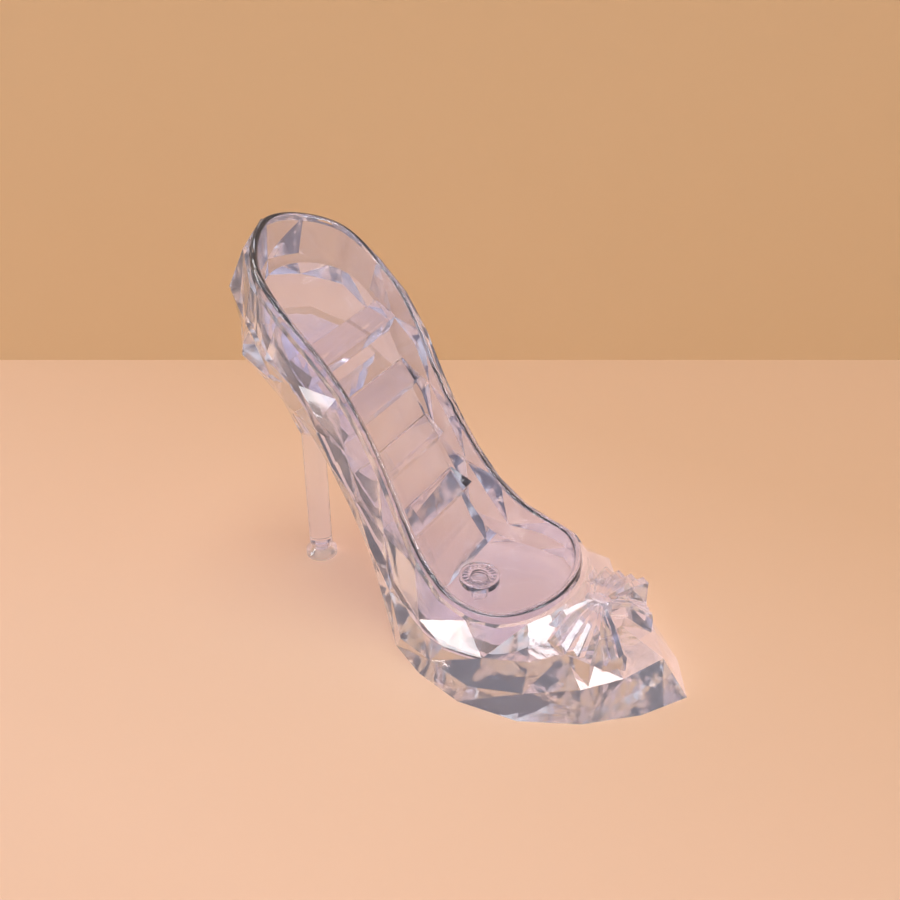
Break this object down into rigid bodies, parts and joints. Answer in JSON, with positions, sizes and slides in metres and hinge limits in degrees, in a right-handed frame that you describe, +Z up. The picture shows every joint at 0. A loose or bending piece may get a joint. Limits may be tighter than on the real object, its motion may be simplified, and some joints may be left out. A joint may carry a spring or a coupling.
{
  "type": "ring display stand",
  "caption": "Clear plastic ring display stand shaped like a high-heeled slipper, with a faceted shell, a smooth inner tray with ring slots, a slim heel pin and a bow",
  "frame": {"origin": "on the ground, at the centre of the bounding box's base, midway between the back of the heel and the tip of the toe", "axes": "+X to the toe, +Y to the wearer's left, +Z up"},
  "size_m": [0.1153, 0.0552, 0.0903],
  "materials": {
    "clear_shell": "polished clear, faintly lilac",
    "clear_tray": "polished clear, faintly lilac"
  },
  "bodies": {
    "root": {"faceted_shell": "clear_shell", "ring_tray": "clear_tray", "outsole": "clear_shell", "heel_block": "clear_shell", "heel_pin": "clear_shell", "heel_foot": "clear_shell", "tray_plug": "clear_tray", "ring_bar_1": "clear_tray", "ring_bar_2": "clear_tray", "ring_bar_3": "clear_tray", "ring_bar_4": "clear_tray", "bow_knot": "clear_shell", "bow_loop_left": "clear_shell", "bow_loop_right": "clear_shell", "bow_tail_left": "clear_shell", "bow_tail_right": "clear_shell"}
  },
  "joints": []
}
